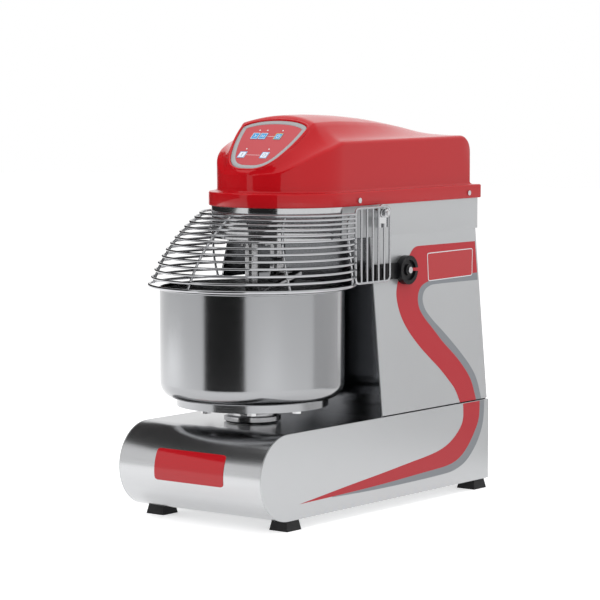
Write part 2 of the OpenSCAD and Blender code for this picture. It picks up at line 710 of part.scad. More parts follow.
module spiral_hook() color(steel) at_bowl() translate([0, spiral_y, 0]) {
  turns = 1.35;
  n = 44;
  arm = [for (k = [0 : 5]) [k * spiral_coil_r / 6.2, 0, spiral_top]];
  coil = [for (k = [0 : n]) let (s = k / n, a = -360 * turns * s)
    [spiral_coil_r * cos(a), spiral_coil_r * sin(a), spiral_top - (spiral_top - spiral_low) * s]];
  tail = [for (k = [1 : 6]) let (s = k / 6, a = -360 * turns - 40 * s, r = spiral_coil_r * (1 - 0.85 * s))
    [r * cos(a), r * sin(a), spiral_low]];
  swept_rod(concat(arm, coil, tail), spiral_rod_r, 14);
  difference() {
    translate([0, 0, spiral_top - 12]) cylinder(r = 12, h = 34);
    translate([0, 0, spiral_top + 8]) cylinder(r = 8.05, h = 40);
  }
}

module spiral_shaft() color([0.6, 0.61, 0.63]) at_bowl() translate([0, spiral_y, 0]) {
  translate([0, 0, spiral_top + 8]) cylinder(r = 8, h = 448 - spiral_top - 8);
  translate([0, 0, spiral_top + 26]) cylinder(r = 12, h = head_z - 8 - spiral_top - 26);
}

module spiral_bearings() color(steel) at_bowl() translate([0, spiral_y, 0]) {
  translate([0, 0, head_z - 1]) tube(19, 8.05, 10);
  translate([0, 0, head_z + 12]) tube(19, 8.05, 10);
}

module spiral_housing() color([0.4, 0.41, 0.43]) at_bowl() translate([0, spiral_y, 0]) difference() {
  union() {
    translate([0, 0, head_z - 5]) cylinder(r = 26, h = 28);
    intersection() {
      translate([0, 0, head_z - 5]) cylinder(r = 41, h = 5);
      block([-41, -37, 390], [41, 41, 410]);
    }
  }
  translate([0, 0, head_z - 1]) cylinder(r = 19.05, h = 40);
  translate([0, 0, 380]) cylinder(r = 12.6, h = 40);
  for (a = [20, 90, 160, 250, 290]) rotate([0, 0, a]) translate([34, 0, 390]) cylinder(r = 3.2, h = 30);
}

module spiral_pulley() color([0.5, 0.5, 0.52]) at_bowl() translate([0, spiral_y, 430])
  pulley(spiral_pulley_r, 16, 8.05);

module spiral_belt() color(dark) at_bowl() translate([0, 0, 433])
  belt(spiral_y, spiral_pulley_r, lay_y, lay_upper_r, 10);

// ---- Lay shaft ----

module layshaft() color([0.6, 0.61, 0.63]) at_bowl() translate([0, lay_y, 24]) cylinder(r = 9, h = 458);

module layshaft_pulleys() color([0.5, 0.5, 0.52]) at_bowl() translate([0, lay_y, 0]) {
  translate([0, 0, 28]) pulley(lay_lower_r, 18, 9.05);
  translate([0, 0, 430]) pulley(lay_upper_r, 16, 9.05);
  translate([0, 0, 458]) pulley(lay_input_r, 16, 9.05);
}

module layshaft_bearings() color(steel) at_bowl() translate([0, lay_y, 0]) {
  translate([0, 0, 101]) tube(19.95, 9.05, 10);
  translate([0, 0, head_z]) tube(23.05, 9.05, 12);
}

// ---- Motor ----

module motor_body() color([0.3, 0.32, 0.34]) at_bowl() translate([0, motor_y, 0]) difference() {
  union() {
    translate([0, 0, 200]) cylinder(r = 52, h = 170);
    translate([0, 0, 380]) cylinder(r = 26.9, h = 10);
    translate([0, 0, 370]) cylinder(r = 46, h = 18);
    for (a = [0 : 15 : 345]) rotate([0, 0, a]) translate([51, -1, 215]) cube([4.5, 2, 140]);
  }
  translate([0, 0, 190]) cylinder(r = 8.6, h = 210);
}

module motor_shaft() color([0.6, 0.61, 0.63]) at_bowl() translate([0, motor_y, 196])
  cylinder(r = 8.55, h = 286);

module motor_pulley() color([0.5, 0.5, 0.52]) at_bowl() translate([0, motor_y, 458])
  pulley(motor_pulley_r, 16, 8.6);

module motor_belt() color(dark) at_bowl() translate([0, 0, 461])
  belt(lay_y, lay_input_r, motor_y, motor_pulley_r, 10);

base_wrap();
base_side_left();
base_side_right();
base_tray();
front_nameplate();
rubber_feet();
foot_studs();
cable_gland();
machine_frame();
inverter_box();
column_side_left();
column_side_right();
column_front_cover();
column_rear_cover();
head_plate();
head_shroud();
head_rear_panel();
head_cover();
cover_screws();
panel_bezel();
panel_membrane();
control_board();
key_low_speed();
key_high_speed();
key_timer();
key_start();
key_stop();
guard_rings();
guard_ribs();
side_grille();
side_plate();
pivot_tab();
pivot_bolts();
interlock_arm();
interlock_cap();
interlock_screw();
guard_magnet();
bowl();
bowl_carrier();
bowl_bolts();
bowl_spindle();
spindle_bearings();
spindle_housing();
bowl_pulley();
breaker_bar();
head_bolts();
spiral_hook();
spiral_shaft();
spiral_bearings();
spiral_housing();
spiral_pulley();
layshaft();
layshaft_pulleys();
layshaft_bearings();
motor_body();
motor_shaft();
motor_pulley();
motor_belt();
spiral_belt();
bowl_belt();
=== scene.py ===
# %% [markdown]
# # A spiral dough mixer
# The engineering model gives every sheet, shaft and joint its place. This notebook dresses it: it loads
# that model as a fixed frame, sets the camera and the studio, mixes a finish for every part, and remakes
# in smooth mesh the few pieces whose look needs more than the engineering model holds.

# %% Load the frame
import json
import math
import bmesh
import bpy
import numpy as np
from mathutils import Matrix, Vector


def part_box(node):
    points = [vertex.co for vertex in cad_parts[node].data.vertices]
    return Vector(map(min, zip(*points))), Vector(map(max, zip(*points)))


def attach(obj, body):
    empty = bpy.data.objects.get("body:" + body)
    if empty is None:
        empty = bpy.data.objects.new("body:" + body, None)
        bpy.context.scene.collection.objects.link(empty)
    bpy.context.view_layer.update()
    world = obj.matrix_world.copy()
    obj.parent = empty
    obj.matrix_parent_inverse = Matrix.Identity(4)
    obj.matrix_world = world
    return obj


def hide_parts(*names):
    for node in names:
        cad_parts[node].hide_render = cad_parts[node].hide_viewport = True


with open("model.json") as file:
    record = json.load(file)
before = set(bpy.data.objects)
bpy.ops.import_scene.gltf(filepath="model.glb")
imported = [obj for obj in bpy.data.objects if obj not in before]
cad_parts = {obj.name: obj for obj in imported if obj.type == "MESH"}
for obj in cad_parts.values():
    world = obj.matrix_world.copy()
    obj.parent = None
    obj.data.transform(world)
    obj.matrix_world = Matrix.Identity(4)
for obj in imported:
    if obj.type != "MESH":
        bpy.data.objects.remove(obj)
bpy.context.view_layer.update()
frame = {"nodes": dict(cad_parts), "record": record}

# %% [markdown]
# ## One way of giving places
# The maker's drawing measures everything in millimetres from the bowl's axis and from the underside of the
# base. The scene is in metres from the floor. So one function turns the first into the second, and it takes
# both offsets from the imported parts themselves.

# %% Places in millimetres
bowl_low, bowl_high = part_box("bowl")
base_low, base_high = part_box("base_side_right")
BOWL_Y = (bowl_low[1] + bowl_high[1]) / 2
FLOOR_GAP = base_low[2]


def place(x, y, z):
    """A point of the drawing, in the scene's metres."""
    return Vector((x / 1000, y / 1000 + BOWL_Y, z / 1000 + FLOOR_GAP))


def places(points):
    """Many points of the drawing at once, as an array."""
    return np.array(points, float) / 1000 + np.array([0, BOWL_Y, FLOOR_GAP])


print("bowl axis at", round(BOWL_Y, 4), "base underside at", round(FLOOR_GAP, 4))

# %% [markdown]
# ## The camera
# A long lens far away keeps the mixer's uprights nearly parallel and its proportions true. Blender can
# aim a camera with a constraint, but two plain angles say the same thing and stay fixed.

# %% Camera
camera_data = bpy.data.cameras.new("camera")
camera_data.lens = 158.07
camera_data.sensor_width = 36
camera = bpy.data.objects.new("camera", camera_data)
bpy.context.collection.objects.link(camera)
camera.location = place(2483.9, -3093.5, 670.0)
camera.rotation_euler = (math.radians(90 - 5.15), 0, math.radians(37.72))
camera_data.clip_end = 60
bpy.context.scene.camera = camera
bpy.context.scene.view_settings.view_transform = "Standard"
print("camera at", [round(v, 3) for v in camera.location])

# %% [markdown]
# ## Writing materials as sums
# A Blender material is a graph of nodes, which is slow to write down one link at a time. Here a socket is
# wrapped so that `1 - mask` or `grain * 0.2` adds the right node by itself: Math for plain values, Vector
# Math for vectors and Mix for colours, because a Math node would turn a colour grey.

# %% The socket class
def kind_of(value):
    """Whether a value is a colour, a vector or a plain number."""
    if isinstance(value, Socket):
        return {"RGBA": "colour", "VECTOR": "vector"}.get(value.end.type, "number")
    if isinstance(value, (tuple, list)):
        return "colour" if len(value) == 4 else "vector"
    return "number"


class Socket:
    """One output of a node, with arithmetic."""

    def __init__(self, finish, end):
        self.finish, self.end = finish, end

    def join(self, operation, a, b):
        """Adds the node that works on both values; a plain number is spread over a colour or vector."""
        kinds = {kind_of(a), kind_of(b)}
        if "colour" in kinds:
            a, b = [(v, v, v, 1) if isinstance(v, (int, float)) else v for v in (a, b)]
            return self.finish.node("ShaderNodeMix", {"data_type": "RGBA", "blend_type": operation},
                                    {0: 1.0, 6: a, 7: b}, 2)
        if "vector" in kinds:
            a, b = [(v, v, v) if isinstance(v, (int, float)) else v for v in (a, b)]
            return self.finish.node("ShaderNodeVectorMath", {"operation": operation}, {0: a, 1: b})
        return self.finish.node("ShaderNodeMath", {"operation": operation}, {0: a, 1: b})

    def __add__(self, other): return self.join("ADD", self, other)
    def __radd__(self, other): return self.join("ADD", other, self)
    def __sub__(self, other): return self.join("SUBTRACT", self, other)
    def __rsub__(self, other): return self.join("SUBTRACT", other, self)
    def __mul__(self, other): return self.join("MULTIPLY", self, other)
    def __rmul__(self, other): return self.join("MULTIPLY", other, self)
    def __truediv__(self, other): return self.join("DIVIDE", self, other)
    def __rtruediv__(self, other): return self.join("DIVIDE", other, self)


# %% [markdown]
# ## A finish
# Every finish ends in one Principled shader. What is the same all over goes straight onto the shader's own
# sockets. What changes over the surface is only its colour, roughness, metallic share and fine relief.

# %% The finish class
class Finish:
    """One material: its shader, and the nodes that feed it."""

    def __init__(self, name, colour, **constants):
        self.material = bpy.data.materials.new(name)
        self.material.use_nodes = True
        self.tree = self.material.node_tree
        self.shader = self.tree.nodes["Principled BSDF"]
        self.colour = (*colour, 1)
        self.material.diffuse_color = self.colour
        self.feed(Base_Color=self.colour, **constants)

    def node(self, kind, settings=(), sockets=(), out=0):
        """Makes a node: its settings first, then the values or links of its sockets."""
        made = self.tree.nodes.new(kind)
        for key, value in dict(settings).items():
            setattr(made, key, value)
        for key, value in dict(sockets).items():
            if isinstance(value, Socket):
                self.tree.links.new(value.end, made.inputs[key])
            else:
                made.inputs[key].default_value = value
        return Socket(self, made.outputs[out])

    def feed(self, **sockets):
        """Sets or links sockets of the shader; an underscore stands for a space."""
        for key, value in sockets.items():
            target = self.shader.inputs[key.replace("_", " ")]
            if isinstance(value, Socket):
                self.tree.links.new(value.end, target)
            else:
                target.default_value = value
        return self

    def spot(self, stretch=(1, 1, 1)):
        """The place on the part in metres, stretched along its axes."""
        return self.node("ShaderNodeTexCoord", out=3) * tuple(stretch)

    def noise(self, stretch, scale, detail=2.0, roughness=0.5):
        """Cloudy values round a half."""
        return self.node(
            "ShaderNodeTexNoise", {}, {"Vector": self.spot(stretch), "Scale": scale, "Detail": detail,
                                       "Roughness": roughness}
        )

    def relief(self, height, strength, distance):
        """Feeds a height into the shader's normal."""
        return self.feed(Normal=self.node(
            "ShaderNodeBump", {}, {"Strength": strength, "Distance": distance, "Height": height}))

    def tinted(self, mask, darkest):
        """The finish's colour, multiplied down to `darkest` where the mask is low."""
        shade = self.node("ShaderNodeMapRange", {}, {"Value": mask, 1: 0.3, 2: 0.7, 3: darkest, 4: 1.0})
        return self.feed(Base_Color=self.node(
            "ShaderNodeMix", {"data_type": "RGBA", "blend_type": "MULTIPLY"},
            {0: 1.0, 6: self.colour, 7: shade}, 2))


FINISHES = {}
print("finish helpers ready")

# %% [markdown]
# ## Steel
# Stainless sheet keeps the direction in which it was ground: long streaks one way, hardly any change the
# other way. Stretching a noise gives that. The bowl was spun and ground round its axis, so its streaks lie
# level; polished sheet has almost none. Wire is bright and smooth.

# %% Steel finishes
def steel(name, colour, rough, stretch, depth, change=0.06):
    """Ground or polished steel with streaks along the axis that is stretched least."""
    made = Finish(name, colour, Metallic=1.0, Roughness=rough)
    streaks = made.noise(stretch, 1.0, 3.0, 0.6)
    clouds = made.noise((1, 1, 1), 9.0, 3.0)
    made.feed(Roughness=streaks * change + clouds * 0.05 + (rough - change / 2 - 0.025))
    made.tinted(streaks * 0.7 + clouds * 0.3, 0.93)
    made.relief(streaks, depth, 0.0002)
    FINISHES[name] = made
    return made


steel("bowl_steel", (0.33, 0.335, 0.345), 0.16, (14, 14, 1700), 0.08, 0.08)
steel("polished_steel", (0.62, 0.625, 0.635), 0.11, (9, 9, 700), 0.02)
# The next two are polished steel with a darker colour. This is painted shade that dims the reflections of
# the base's wrap and the head's shroud. The wrap's copy is also rougher and ground along its length, as the
# real sheet is.
steel("wrap_steel_painted_shade", (0.52, 0.525, 0.535), 0.21, (9, 700, 700), 0.04)
steel("shroud_steel_painted_shade", (0.56, 0.565, 0.575), 0.10, (9, 9, 700), 0.02)
steel("mirror_steel", (0.22, 0.225, 0.235), 0.13, (700, 9, 9), 0.02)
steel("chrome_wire", (0.46, 0.465, 0.48), 0.10, (60, 60, 60), 0.01)
steel("fastener_steel", (0.60, 0.60, 0.61), 0.22, (300, 300, 300), 0.04)
steel("machined_steel", (0.46, 0.46, 0.47), 0.16, (20, 20, 900), 0.04)
steel("cast_pulley", (0.55, 0.55, 0.56), 0.32, (200, 200, 200), 0.05)
print("steel finishes:", sorted(FINISHES))

# %% [markdown]
# ## The bowl's inside
# The inside of the bowl is polished brighter than its outside, so that dough lets go of it. The bowl is one
# piece, so the finish itself has to know where it is: a place nearer to the axis than the middle of the
# wall, and above the round lower corner, is inside.

# %% Brighter inside of the bowl
bowl = FINISHES["bowl_steel"]
from_axis = bowl.node("ShaderNodeVectorMath", {"operation": "LENGTH"},
                      {0: bowl.spot((1, 1, 0)) - (0, BOWL_Y, 0)}, 1)
height = bowl.node("ShaderNodeSeparateXYZ", {}, {0: bowl.spot()}, 2)
MID_WALL, CORNER_TOP = 0.1393, place(0, 0, 190).z
within = bowl.node("ShaderNodeMath", {"operation": "LESS_THAN"}, {0: from_axis, 1: MID_WALL})
above = bowl.node("ShaderNodeMath", {"operation": "GREATER_THAN"}, {0: height, 1: CORNER_TOP})
outer = Socket(bowl, bowl.shader.inputs["Base Color"].links[0].from_socket)
bowl.feed(Base_Color=bowl.node("ShaderNodeMix", {"data_type": "RGBA"},
                               {0: within * above, 6: outer, 7: (0.70, 0.705, 0.715, 1)}, 2))
print("bowl is brighter inside", round(CORNER_TOP, 4), "m up and higher")

# %% [markdown]
# ## Paint and plastic
# The side sheets are a fine satin silver: a metal flake under a clear skin, so it is part metal and part
# paint, with a grain too fine to see as dots. The red cover is moulded and glossy, and a clear coat over a
# deep red gives its crisp reflections. Textured plastics get a shallow pebbled relief.

# %% Paint and plastic finishes
def skin(name, colour, rough, grain=400.0, depth=0.05, change=0.05, darkest=0.95, **constants):
    """Paint, plastic or rubber with a fine grain."""
    made = Finish(name, colour, Roughness=rough, **constants)
    grains = made.noise((1, 1, 1), grain, 2.0)
    clouds = made.noise((1, 1, 1), 6.0, 3.0)
    made.feed(Roughness=grains * change + clouds * change + (rough - change))
    made.tinted(grains * 0.4 + clouds * 0.6, darkest)
    made.relief(grains, depth, 0.0002)
    FINISHES[name] = made
    return made


skin("silver_paint", (0.50, 0.51, 0.52), 0.33, 900, 0.03, 0.05, 0.96, Metallic=0.75)
skin("red_cover", (0.47, 0.0015, 0.006), 0.34, 260, 0.01, 0.03, 0.97, Coat_Weight=0.55, Coat_Roughness=0.04,
     Specular_IOR_Level=0.1)
skin("nameplate_red", (0.46, 0.004, 0.010), 0.30, 500, 0.02, 0.03, 0.97, Coat_Weight=0.8,
     Coat_Roughness=0.08, Specular_IOR_Level=0.1)
skin("bezel_grey", (0.34, 0.35, 0.355), 0.42, 900, 0.10)
skin("membrane_red", (0.47, 0.055, 0.065), 0.45, 1200, 0.12)
skin("key_blue", (0.055, 0.30, 0.60), 0.42, 1200, 0.10)
skin("key_white", (0.72, 0.76, 0.84), 0.42, 1200, 0.10)
skin("rubber", (0.012, 0.012, 0.013), 0.62, 600, 0.25, 0.10, Specular_IOR_Level=0.3)
skin("black_plastic", (0.006, 0.006, 0.007), 0.34, 700, 0.10, 0.08, Specular_IOR_Level=0.22)
skin("frame_paint", (0.10, 0.105, 0.115), 0.55, 300, 0.2)
skin("grey_plastic", (0.10, 0.105, 0.11), 0.50, 700, 0.2)
skin("motor_paint", (0.04, 0.055, 0.075), 0.48, 260, 0.25)
skin("circuit_green", (0.012, 0.10, 0.035), 0.35, 300, 0.1)
skin("belt_rubber", (0.012, 0.012, 0.012), 0.70, 500, 0.3)
print("finishes:", len(FINISHES))

# %% [markdown]
# ## Printed inks
# The stripes on the sides are printed film. Its red is a little paler than the cover, and it carries a very
# fine diagonal hatch that only shows close up. The grey band under it and the pale outlines are plain ink.

# %% Ink finishes
film = Finish("stripe_red", (0.48, 0.026, 0.036), Roughness=0.42, Specular_IOR_Level=0.3)
hatch = film.node("ShaderNodeTexWave", {"bands_direction": "DIAGONAL"},
                  {"Vector": film.spot((1, 1, 1)), "Scale": 160.0, "Distortion": 0.3}, 1)
film.feed(Roughness=hatch * 0.08 + 0.38)
film.tinted(hatch, 0.90)
film.relief(hatch, 0.1, 0.0001)
FINISHES["stripe_red"] = film
skin("stripe_grey", (0.225, 0.24, 0.26), 0.42, 900, 0.05)
skin("ink_pale", (0.74, 0.78, 0.80), 0.45, 900, 0.03)
skin("ink_yellow", (0.72, 0.60, 0.08), 0.45, 900, 0.03)
skin("ink_grey", (0.28, 0.32, 0.38), 0.45, 900, 0.03)
skin("lamp_white", (0.80, 0.82, 0.82), 0.20, 900, 0.02, 0.03, 0.97, Coat_Weight=0.5)
print("inks ready")

# %% [markdown]
# ## Dressing the engineering model
# The record names one material slot for every node. The finishes carry the same names, so one loop dresses
# them all. Two of the polished sheets get darker copies of polished steel: painted shade that dims their
# reflections.

# %% Assign finishes to the nodes
slot_of = {part["node"]: part["material_slot"] for part in frame["record"]["subparts"]}
painted_shade_finish = {"head_shroud": "shroud_steel_painted_shade", "base_wrap": "wrap_steel_painted_shade"}
for name, thing in frame["nodes"].items():
    thing.data.materials.clear()
    thing.data.materials.append(FINISHES[painted_shade_finish.get(name, slot_of[name])].material)
print("dressed nodes:", len(slot_of))

# %% [markdown]
# ## From points to pieces
# All new pieces are made the same way: rows of points are worked out with arithmetic, and faces join each
# row to the next. A modifier stack could make some of them, but rows of points keep every edge where the
# drawing puts it.

# %% Mesh helpers
def piece(name, points, faces, finish, body, smooth=True):
    """Makes a mesh of points in drawing millimetres, dresses it and lets it ride on a body."""
    mesh = bpy.data.meshes.new(name)
    mesh.from_pydata([tuple(p) for p in places(points)], [], faces)
    work = bmesh.new()
    work.from_mesh(mesh)
    bmesh.ops.remove_doubles(work, verts=work.verts, dist=1e-6)
    bmesh.ops.recalc_face_normals(work, faces=work.faces)
    work.to_mesh(mesh)
    work.free()
    mesh.polygons.foreach_set("use_smooth", [smooth] * len(mesh.polygons))
    mesh.materials.append(FINISHES[finish].material)
    made = bpy.data.objects.new(name, mesh)
    bpy.context.collection.objects.link(made)
    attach(made, body)
    return made


def soften(thing, width):
    """Rounds the sharp edges of a piece; width in millimetres."""
    bevel = thing.modifiers.new("bevel", "BEVEL")
    bevel.width, bevel.segments = width / 1000, 2
    bevel.limit_method, bevel.angle_limit = "ANGLE", math.radians(35)
    bevel.harden_normals = True
    return thing


def sheet_faces(rows, columns, closed=False):
    """Quads that join a grid of rows and columns, closed round the rows if asked."""
    last = columns if closed else columns - 1
    return [(r * columns + c, r * columns + (c + 1) % columns, (r + 1) * columns + (c + 1) % columns,
             (r + 1) * columns + c) for r in range(rows - 1) for c in range(last)]


def rod(points, radius, sides=18):
    """Points and faces of a round rod along a path, with closed ends."""
    points = np.array(points, float)
    ahead = np.gradient(points, axis=0)
    ahead /= np.linalg.norm(ahead, axis=1)[:, None]
    side = np.cross(ahead[0], [0.3, 0.2, 1.0])
    rings = []
    for spot, run in zip(points, ahead):
        side = side - run * (side @ run)
        side /= np.linalg.norm(side)
        other = np.cross(run, side)
        turn = np.linspace(0, 2 * math.pi, sides, endpoint=False)
        rings.append(spot + radius * (np.cos(turn)[:, None] * side + np.sin(turn)[:, None] * other))
    faces = sheet_faces(len(points), sides, True)
    first = list(range(sides))
    faces += [tuple(first), tuple(v + (len(points) - 1) * sides for v in reversed(first))]
    return np.concatenate(rings), faces


def flow(points, steps=10, closed=False):
    """A smooth line through a few points (Catmull and Rom's way)."""
    points = [np.array(p, float) for p in points]
    n = len(points)
    line = []
    for i in range(n if closed else n - 1):
        ends = [points[(i + k) % n] if closed else points[min(max(i + k, 0), n - 1)] for k in (-1, 0, 1, 2)]
        for t in np.arange(steps) / steps:
            a, b, c, d = ends
            line.append(0.5 * (2 * b + (c - a) * t + (2 * a - 5 * b + 4 * c - d) * t * t
                               + (3 * b - a - 3 * c + d) * t ** 3))
    return np.array(line if closed else line + [points[-1]])


print("mesh helpers ready")

# %% [markdown]
# ## The studio
# The mixer stands on a plain pale floor in a white room. Polished steel shows the room more than itself, so
# the room needs something to show. A dark card in front, which only reflections see, draws the dark upright
# band on the bowl and on the head. A second one, close on the left, darkens the top of the nose. Two grey
# ones at the rear, one upright and one low, shade the back of the side sheets.

# %% Floor, card and room
def stage_mesh(name, corners, finish):
    """A flat piece of the studio; it is no part of the mixer."""
    mesh = bpy.data.meshes.new(name)
    mesh.from_pydata(corners, [], [(0, 1, 2, 3)])
    mesh.materials.append(finish.material)
    made = bpy.data.objects.new(name, mesh)
    bpy.context.collection.objects.link(made)
    return made


def seen_directly(finish):
    """1 for rays from the camera and from reflections, 0 for the rays that light things."""
    rays = {name: finish.node("ShaderNodeLightPath", out=i)
            for i, name in ((0, "camera"), (3, "glossy"), (6, "transmission"))}
    return finish.node("ShaderNodeMath", {"operation": "ADD", "use_clamp": True},
                       {0: rays["camera"] + rays["glossy"], 1: rays["transmission"]})


floor_finish = Finish("floor_white", (0.86, 0.86, 0.86), Roughness=0.9)
floor_finish.feed(Emission_Color=seen_directly(floor_finish), Emission_Strength=0.5)
stage_mesh("floor", [(-9, -9, 0), (9, -9, 0), (9, 9, 0), (-9, 9, 0)], floor_finish)


def card(name, corners, shade):
    """A flat card that only reflections see."""
    made = stage_mesh(name, corners, Finish(name, (shade, shade, shade), Roughness=1.0))
    made.visible_camera = made.visible_diffuse = made.visible_shadow = False


FRONT_GAP = 0.95
turns = [math.radians(a) for a in (-18.5, 30.5)]
ends = [(FRONT_GAP * math.sin(turn), BOWL_Y - FRONT_GAP * math.cos(turn)) for turn in turns]
card("card_front", [(*ends[0], 0.01), (*ends[1], 0.01), (*ends[1], 1.6), (*ends[0], 1.6)], 0.012)
card("card_left", [(-0.45, -0.90, 0.45), (-0.45, 0.10, 0.36), (-0.45, 0.10, 0.95), (-0.45, -0.90, 0.95)],
     0.03)
card("card_low", [(0.2, 0.5, 0.003), (1.6, 0.5, 0.003), (1.6, 2.0, 0.003), (0.2, 2.0, 0.003)], 0.75)
card("card_rear", [(0.25, 0.75, 0.0), (1.7, 0.75, 0.0), (1.7, 0.75, 0.36), (0.25, 0.75, 0.36)], 0.85)
print("floor and cards placed")

# %% [markdown]
# ## The light
# The room is a plain white world. The camera and reflections see it at full strength, but it lights matt
# surfaces with about six tenths of that. Three large, soft lamps add the rest and give the shapes some
# modelling. They are hidden from reflections, so that the steel shows only the room and the cards.

# %% World and lamps
world = bpy.data.worlds.new("studio")
world.use_nodes = True
bpy.context.scene.world = world
nodes, links = world.node_tree.nodes, world.node_tree.links
path = nodes.new("ShaderNodeLightPath")
level = nodes.new("ShaderNodeMapRange")
level.inputs["To Min"].default_value, level.inputs["To Max"].default_value = 1.0, 0.62
links.new(path.outputs["Is Diffuse Ray"], level.inputs["Value"])
links.new(level.outputs[0], nodes["Background"].inputs["Strength"])
nodes["Background"].inputs["Color"].default_value = (1, 1, 1, 1)


def lamp(name, spot, aim, width, height, watts):
    """A soft rectangular lamp at a spot, turned towards its aim."""
    data = bpy.data.lights.new(name, "AREA")
    data.shape, data.size, data.size_y, data.energy = "RECTANGLE", width, height, watts
    made = bpy.data.objects.new(name, data)
    bpy.context.collection.objects.link(made)
    made.location = spot
    made.rotation_euler = (Vector(aim) - Vector(spot)).to_track_quat("-Z", "Y").to_euler()
    made.visible_glossy = False


lamp("lamp_top", (0.1, 0.2, 2.6), (0, 0, 0.3), 2.4, 2.4, 34)
lamp("lamp_left", (-2.2, -0.9, 1.1), (0, 0, 0.35), 1.2, 2.0, 26)
lamp("lamp_right", (2.0, -1.3, 0.9), (0, -0.1, 0.25), 0.9, 1.4, 12)
print("lamps placed")

# %% [markdown]
# ## The red cover
# The real cover is one moulding: a skirt, a body with a round front, and a pod that carries the sloping
# panel and fades into the flat top. A subdivision cage could be pulled to that shape, but its creases would
# wander. Instead the height of the top is a formula of the place, from the same few figures as the drawing,
# and the grid of points follows the creases.

# %% Heights of the cover's top
WALL_HEIGHTS = [(-23, 503), (-6, 507), (14, 520.3), (33, 532), (50, 539.5), (70, 546), (88, 552),
                (430, 554)]
POD_HEIGHTS = [(60, 590), (130, 590.5), (190, 588), (247, 583.5), (299, 577), (347, 570), (393, 561),
               (412, 556.5), (426, 554)]
POD_WIDTHS = [(-23, 6), (-16, 22), (-9, 41), (17.5, 57), (46, 64), (64, 68), (103, 65), (150, 61),
              (206, 55), (278, 45), (345, 33), (426, 20)]
POD_DROPS = [(60, 11), (206, 9.5), (278, 6.5), (345, 4), (426, 0)]
HALF, FRONT_Y, REAR, CORNER = 107.4, 85.4, 425.5, 20.0
PANEL_START, PANEL_TILT, LIP, SOFTNESS = (-14.5, 511.0), math.radians(40.3), 1.5, 6.0
fine_y = np.arange(-40, 460, 0.5)


def smoothed(table, width):
    """A table of pairs as a smooth function."""
    values = np.interp(fine_y, *zip(*table))
    kernel = np.exp(-0.5 * (np.arange(-60, 61) * 0.5 / width) ** 2)
    values = np.convolve(np.pad(values, 60, mode="edge"), kernel / kernel.sum(), "valid")
    return lambda y: np.interp(y, fine_y, values)


wall_height, pod_height = smoothed(WALL_HEIGHTS, 4), smoothed(POD_HEIGHTS, 8)
pod_width, pod_drop = smoothed(POD_WIDTHS, 2.5), smoothed(POD_DROPS, 8)


def wall_half(y):
    """Half width of the cover's body."""
    return HALF if y > FRONT_Y else math.sqrt(max(0.0, HALF ** 2 - (y - FRONT_Y) ** 2))


def pod_z(x, y):
    """The panel's plane, or the crowned back behind it, with a soft edge between them."""
    plane = PANEL_START[1] + LIP + (y - PANEL_START[0]) * math.tan(PANEL_TILT)
    crown = pod_height(y) - pod_drop(y) * (x / pod_width(y)) ** 2
    gap = plane - crown
    return plane - 0.5 * (gap + math.sqrt(gap * gap + SOFTNESS))


def edge_fall(x, y):
    """How far a rounded edge has dropped near the outline of the cover."""
    inset = HALF - (math.hypot(x, y - FRONT_Y) if y < FRONT_Y else abs(x))
    radius = 6.0 if y > 60 else 3.0 + 3.0 * max(0.0, (y + 22) / 82)
    fall = radius - math.sqrt(max(0.0, radius ** 2 - max(0.0, radius - inset) ** 2))
    if y > REAR - CORNER:
        fall += CORNER - math.sqrt(max(0.0, CORNER ** 2 - (y - REAR + CORNER) ** 2))
    return fall


def cover_z(x, y):
    """Height of the cover's top: the pod, and beside it a hollow sweep down to the wall."""
    width, edge, half = float(pod_width(y)), float(wall_height(y)), wall_half(y)
    if abs(x) <= width:
        return pod_z(x, y) - edge_fall(x, y)
    share = (half - abs(x)) / (half - width)
    return edge + (pod_z(width, y) - edge) * share ** 2.2 - edge_fall(x, y)


print("pod height above the panel:", round(cover_z(0, 100), 1))

# %% [markdown]
# ## The panel's outline
# The panel is a shield, wide at the top. Its outline is used five times: for the raised lip round it, for
# the recess, for the grey bezel's two edges and for the printed film, each time drawn in or out a little.

# %% The shield outline
SHIELD = [(14, 0.6), (26, 4.5), (35, 11), (43, 21.5), (50, 37), (56, 55), (60, 74), (61.5, 88),
          (60.5, 93.5), (55, 98.3), (46, 102.2), (34, 105.6), (18, 108)]
shield = flow([(0, 0)] + SHIELD + [(0, 108.8)] + [(-x, s) for x, s in reversed(SHIELD)], 6, True)


def grown(outline, amount):
    """A closed outline moved outwards along its normals."""
    run = np.roll(outline, -1, axis=0) - np.roll(outline, 1, axis=0)
    normal = np.stack([run[:, 1], -run[:, 0]], 1)
    return outline + amount * normal / np.linalg.norm(normal, axis=1)[:, None]


def on_panel(points, out):
    """Panel places (across, up the slope) at a height out of its face, as drawing points."""
    points = np.atleast_2d(points)
    up, over = math.cos(PANEL_TILT), math.sin(PANEL_TILT)
    return np.stack([points[:, 0], PANEL_START[0] + points[:, 1] * up - out * over,
                     PANEL_START[1] + points[:, 1] * over + out * up], 1)


def inside_shield(x, s, amount):
    """True if a place on the panel lies inside the shield grown by that amount."""
    outline = grown(shield, amount)
    nxt = np.roll(outline, -1, axis=0)
    crosses = (outline[:, 1] > s) != (nxt[:, 1] > s)
    with np.errstate(divide="ignore", invalid="ignore"):
        at = (nxt[:, 0] - outline[:, 0]) * (s - outline[:, 1]) / (nxt[:, 1] - outline[:, 1]) + outline[:, 0]
    return bool(np.count_nonzero(crosses & (x < at)) % 2)


print("shield points:", len(shield))

# %% [markdown]
# ## The cover's shell
# First comes the top: rows of points from the round front to the rounded rear, with a dip where the panel
# sits.

